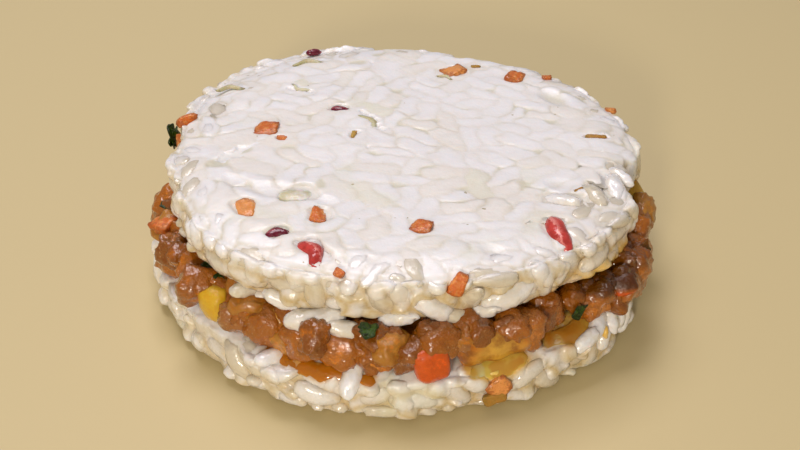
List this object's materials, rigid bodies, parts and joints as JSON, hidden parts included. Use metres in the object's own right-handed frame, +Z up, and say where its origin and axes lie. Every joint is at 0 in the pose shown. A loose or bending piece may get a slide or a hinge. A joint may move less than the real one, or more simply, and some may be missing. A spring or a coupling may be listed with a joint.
{
  "type": "rice burger",
  "caption": "Rice burger: two round patties of pressed cooked rice with a diced, sauced meat and vegetable filling squeezed out between them.",
  "frame": {"origin": "centre of the footprint's box on the flat face that the lower rice patty rests on", "axes": "+Z up through the layers, -Y towards the side where the top patty is set back and the filling shows most"},
  "size_m": [0.1002, 0.0988, 0.0272],
  "materials": {
    "pressed_rice": "moist, slightly glossy",
    "sauced_filling": "wet and glossy",
    "vegetables": "cooked, moist"
  },
  "bodies": {
    "root": {"rice_patty_lower": "pressed_rice", "filling": "sauced_filling", "rice_patty_upper": "pressed_rice"}
  },
  "joints": []
}
